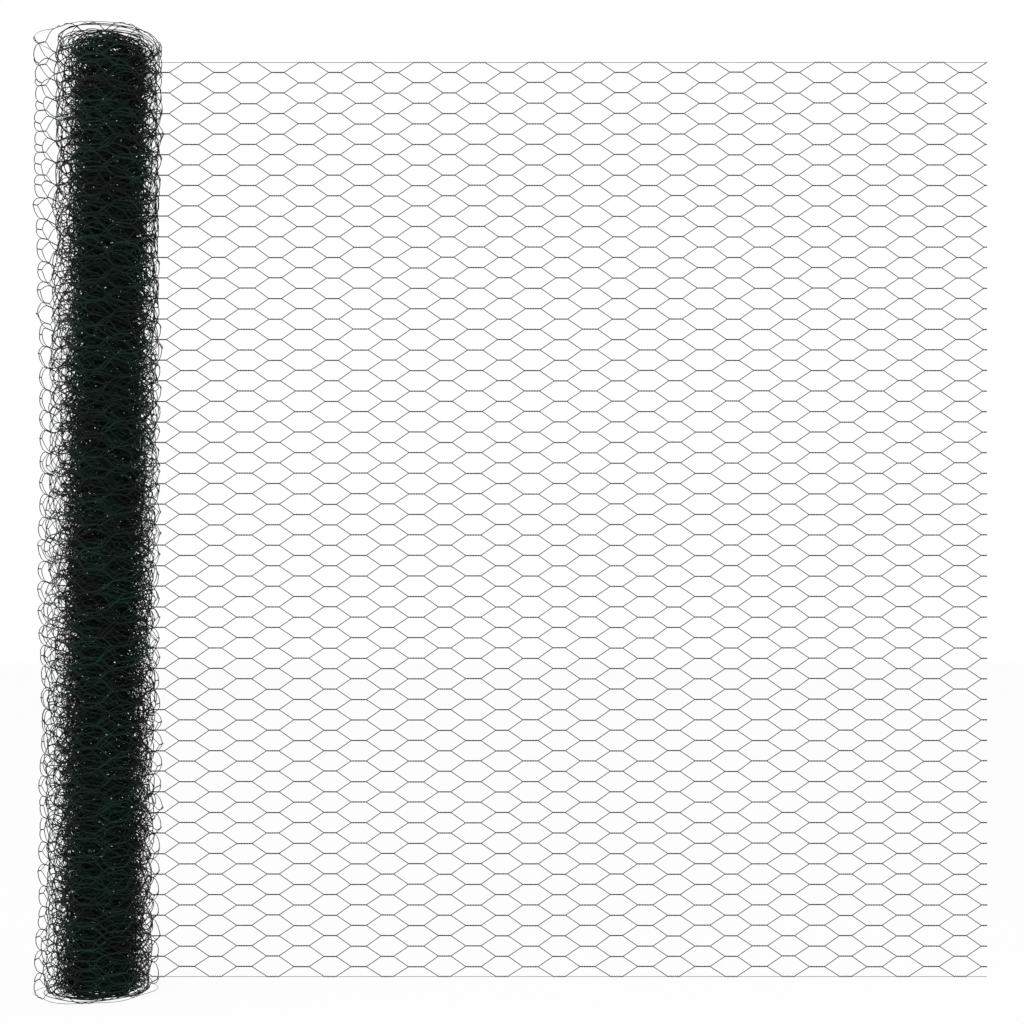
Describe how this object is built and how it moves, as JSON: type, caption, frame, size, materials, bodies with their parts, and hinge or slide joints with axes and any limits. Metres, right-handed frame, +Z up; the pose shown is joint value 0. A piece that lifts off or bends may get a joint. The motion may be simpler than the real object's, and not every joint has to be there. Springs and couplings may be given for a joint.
{
  "type": "roll of chicken wire",
  "caption": "Standing roll of green plastic-coated hexagonal wire netting with its free length drawn out flat, for fencing and pens.",
  "frame": {"origin": "on the axis of the wound body, at the floor that it stands on", "axes": "+Z up the axis of the wound body, +X along the free length towards its cut end, +Y from the axis to the plane of the free length"},
  "size_m": [1.0169, 0.124, 0.9997],
  "materials": {
    "coated_wire": "dark green PVC coating over galvanised steel wire"
  },
  "bodies": {
    "root": {"wound_roll": "coated_wire", "free_netting_1": "coated_wire", "free_netting_2": "coated_wire", "free_netting_3": "coated_wire", "free_netting_4": "coated_wire", "free_netting_5": "coated_wire", "free_netting_6": "coated_wire", "free_netting_7": "coated_wire", "free_netting_8": "coated_wire"}
  },
  "joints": []
}
